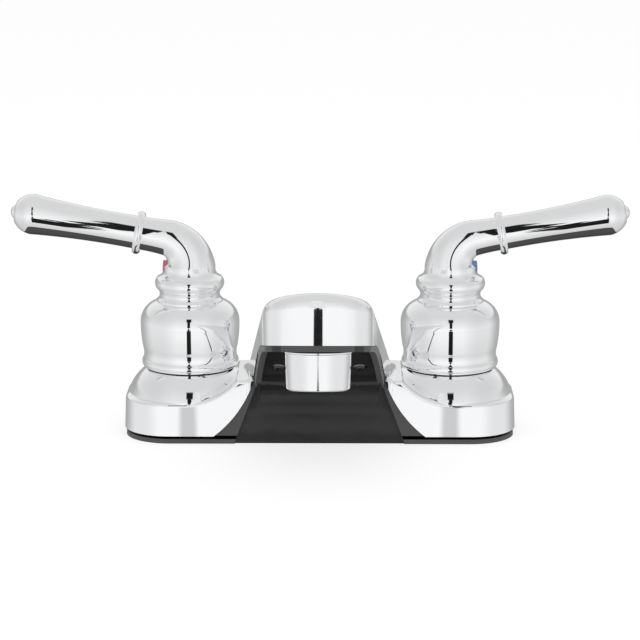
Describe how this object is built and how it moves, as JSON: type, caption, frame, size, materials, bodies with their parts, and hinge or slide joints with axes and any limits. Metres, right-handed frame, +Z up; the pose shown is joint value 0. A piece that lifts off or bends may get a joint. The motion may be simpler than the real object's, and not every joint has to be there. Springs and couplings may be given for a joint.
{
  "type": "bathroom faucet",
  "caption": "Centreset bathroom faucet: chrome base with a low wide spout, lever handles on bell-shaped hubs, black moulded underbody and threaded inlet shanks.",
  "frame": {"origin": "on the deck under the base, midway between the valve axes", "axes": "+X to the cold side, -Y towards the user along the spout, +Z up"},
  "size_m": [0.2398, 0.12, 0.1451],
  "materials": {
    "chrome_shell": "bright chrome plating over a moulded shell",
    "chrome_handle": "bright chrome plating",
    "chrome_aerator": "bright chrome plating",
    "black_moulding": "glossy black moulding",
    "white_moulding": "natural white moulding",
    "nut_moulding": "ribbed pale moulding",
    "ceramic": "ground ceramic",
    "rubber": "soft black rubber",
    "brass": "turned brass",
    "steel": "zinc-plated steel",
    "black_steel": "black-oxide steel",
    "stem_steel": "turned stainless steel",
    "red_index": "glossy red plug",
    "blue_index": "glossy blue plug"
  },
  "bodies": {
    "base": {"spout_shell": "chrome_shell", "underbody": "black_moulding", "shell_screws": "black_steel", "spout_waterway": "white_moulding", "aerator_housing": "chrome_aerator", "aerator_washer": "rubber", "aerator_insert": "white_moulding", "hot_valve_body": "brass", "hot_feed_tube": "white_moulding", "hot_feed_seals": "rubber", "hot_cartridge_body": "white_moulding", "hot_seat_seal": "rubber", "hot_fixed_disc": "ceramic", "hot_bonnet_nut": "black_moulding", "hot_mounting_washer": "steel", "hot_mounting_nut": "nut_moulding", "cold_valve_body": "brass", "cold_feed_tube": "white_moulding", "cold_feed_seals": "rubber", "cold_cartridge_body": "white_moulding", "cold_seat_seal": "rubber", "cold_fixed_disc": "ceramic", "cold_bonnet_nut": "black_moulding", "cold_mounting_washer": "steel", "cold_mounting_nut": "nut_moulding"},
    "hot_handle": {"hot_handle": "chrome_handle", "hot_index_button": "red_index", "hot_set_screw": "steel", "hot_stem": "stem_steel", "hot_stem_ring": "rubber", "hot_moving_disc": "ceramic"},
    "cold_handle": {"cold_handle": "chrome_handle", "cold_index_button": "blue_index", "cold_set_screw": "steel", "cold_stem": "stem_steel", "cold_stem_ring": "rubber", "cold_moving_disc": "ceramic"}
  },
  "joints": [
    {"name": "hot_turn", "type": "hinge", "parent": "base", "child": "hot_handle", "pos_m": [-0.0508, 0, 0], "axis": [0, 0, 1], "range_deg": [0, 90]},
    {"name": "cold_turn", "type": "hinge", "parent": "base", "child": "cold_handle", "pos_m": [0.0508, 0, 0], "axis": [0, 0, 1], "range_deg": [-90, 0]}
  ]
}
